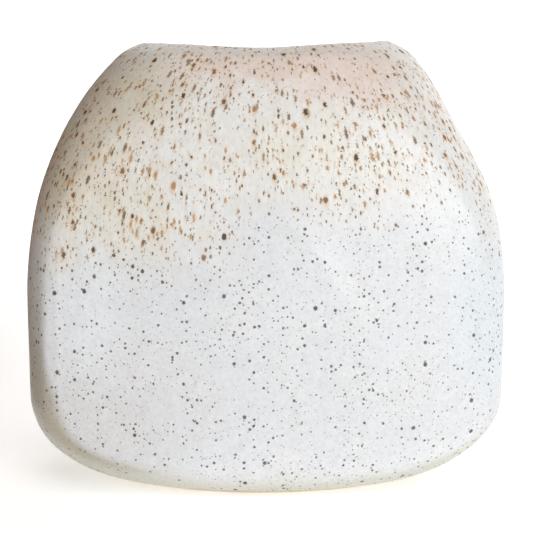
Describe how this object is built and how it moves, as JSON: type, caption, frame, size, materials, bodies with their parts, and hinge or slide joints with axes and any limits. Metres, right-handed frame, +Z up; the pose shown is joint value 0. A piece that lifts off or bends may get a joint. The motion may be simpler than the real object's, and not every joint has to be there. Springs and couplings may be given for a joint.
{
  "type": "ceramic bud vase",
  "caption": "Pebble-shaped stoneware bud vase with a paddled flat face, a wide oval mouth and speckled white glaze dipped twice.",
  "frame": {"origin": "middle of the flat foot, on the surface the vase stands on", "axes": "+Z up through the mouth, +X across the wide side, -Y out of the paddled face"},
  "size_m": [0.1, 0.0551, 0.0919],
  "materials": {
    "stoneware": "bare fired stoneware, buff, dry, with small dark iron specks",
    "outer_glaze": "satin off-white glaze with round black-brown iron specks",
    "upper_glaze": "satin white glaze with a warm pink and cream blush and rusty streaked specks",
    "liner_glaze": "smooth glossy off-white liner glaze with a few specks"
  },
  "bodies": {
    "root": {"wall": "stoneware", "floor": "stoneware", "outer_glaze": "outer_glaze", "upper_glaze": "upper_glaze", "liner_glaze": "liner_glaze"}
  },
  "joints": []
}
